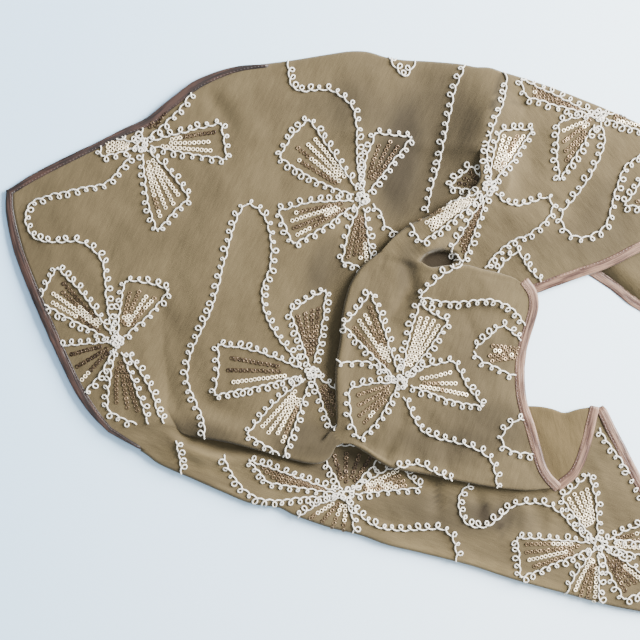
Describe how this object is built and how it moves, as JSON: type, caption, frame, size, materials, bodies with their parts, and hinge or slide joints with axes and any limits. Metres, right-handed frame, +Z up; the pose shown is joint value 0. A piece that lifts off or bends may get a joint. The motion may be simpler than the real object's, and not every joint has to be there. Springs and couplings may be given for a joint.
{
  "type": "headscarf",
  "caption": "Triangular cloth headscarf with satin bound edges and two long tails, lying crumpled on a flat surface.",
  "frame": {"origin": "centre of the bounding box in plan, on the surface that the scarf lies on", "axes": "+Z up from the surface, +X from the back corner towards the tips of the tails"},
  "size_m": [0.8035, 0.4836, 0.0165],
  "materials": {
    "cloth": "matte fine crepe weave, olive khaki",
    "binding_satin": "satin bias binding, mauve brown"
  },
  "bodies": {
    "root": {"crown": "cloth", "front_lobe": "cloth", "upper_tail": "cloth", "lower_tail": "cloth", "fold_back": "cloth", "inner_folds": "cloth", "binding_back_upper": "binding_satin", "binding_back_lower": "binding_satin", "binding_front_lobe": "binding_satin", "binding_fold_back": "binding_satin", "binding_lower_tail": "binding_satin", "binding_upper_tail": "binding_satin", "binding_under_layer": "binding_satin"}
  },
  "joints": []
}
